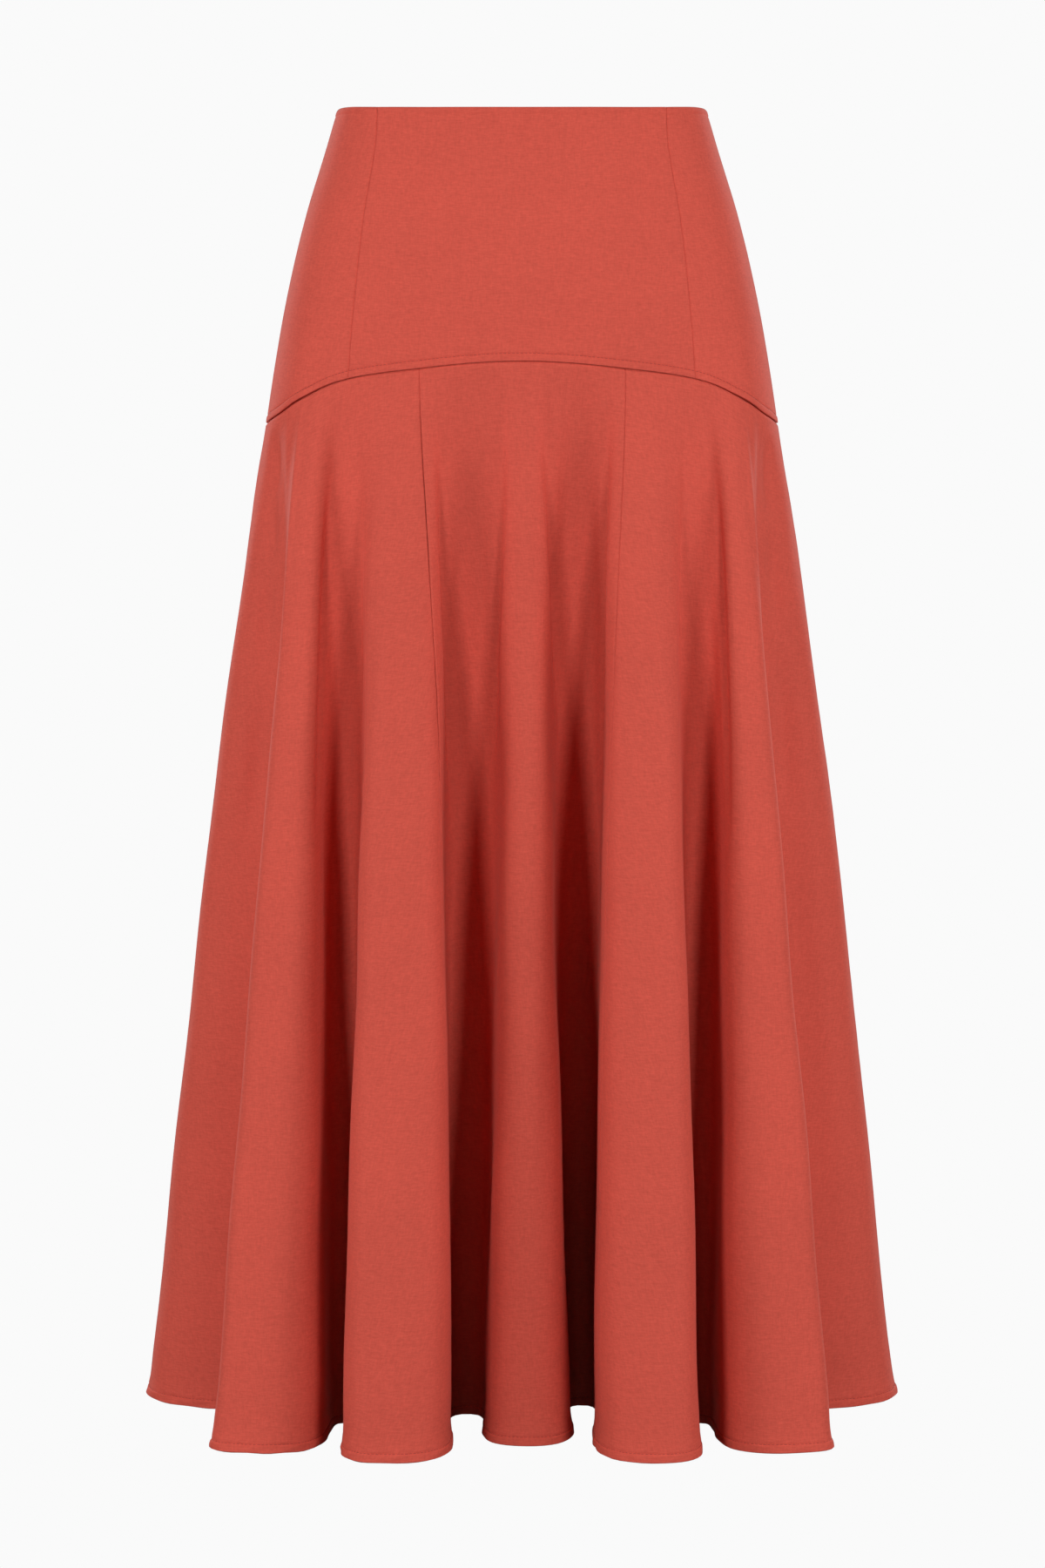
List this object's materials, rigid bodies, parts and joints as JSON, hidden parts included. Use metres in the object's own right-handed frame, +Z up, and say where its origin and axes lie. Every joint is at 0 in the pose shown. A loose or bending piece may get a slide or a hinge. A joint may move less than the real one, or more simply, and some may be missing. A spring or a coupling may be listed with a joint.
{
  "type": "flared midi skirt with a hip yoke",
  "caption": "Flared brick-red midi skirt with a fitted hip yoke, falling in soft folds and standing open as worn, with a concealed zip at the back.",
  "frame": {"origin": "middle of the waist opening, in the plane of the waist edge", "axes": "+Z up, the front faces -Y, +X is the wearer's left; the hem hangs at z = -0.9015"},
  "size_m": [0.5268, 0.4505, 0.9017],
  "materials": {
    "cloth": "matte plain-weave viscose and linen cloth with a faint slub and a slight sheen, brick red",
    "zip_tape": "matte woven polyester zip tape dyed to match the cloth",
    "zip_metal": "zinc zip slider lacquered to match the cloth, semi-gloss"
  },
  "bodies": {
    "skirt": {"yoke_front_centre": "cloth", "yoke_side_front_left": "cloth", "yoke_side_front_right": "cloth", "yoke_side_back_left": "cloth", "yoke_side_back_right": "cloth", "yoke_back_centre_left": "cloth", "yoke_back_centre_right": "cloth", "gore_front_centre": "cloth", "gore_side_front_left": "cloth", "gore_side_front_right": "cloth", "gore_side_back_left": "cloth", "gore_side_back_right": "cloth", "gore_back_centre": "cloth", "zip_tape_left": "zip_tape", "zip_tape_right": "zip_tape", "zip_slider": "zip_metal"},
    "zip_pull_tab": {"zip_pull": "zip_metal"}
  },
  "joints": [
    {"name": "zip_pull_hinge", "type": "hinge", "parent": "skirt", "child": "zip_pull_tab", "pos_m": [0, 0.09941, -0.00902], "axis": [1, 0, 0], "range_deg": [0, 165]}
  ]
}
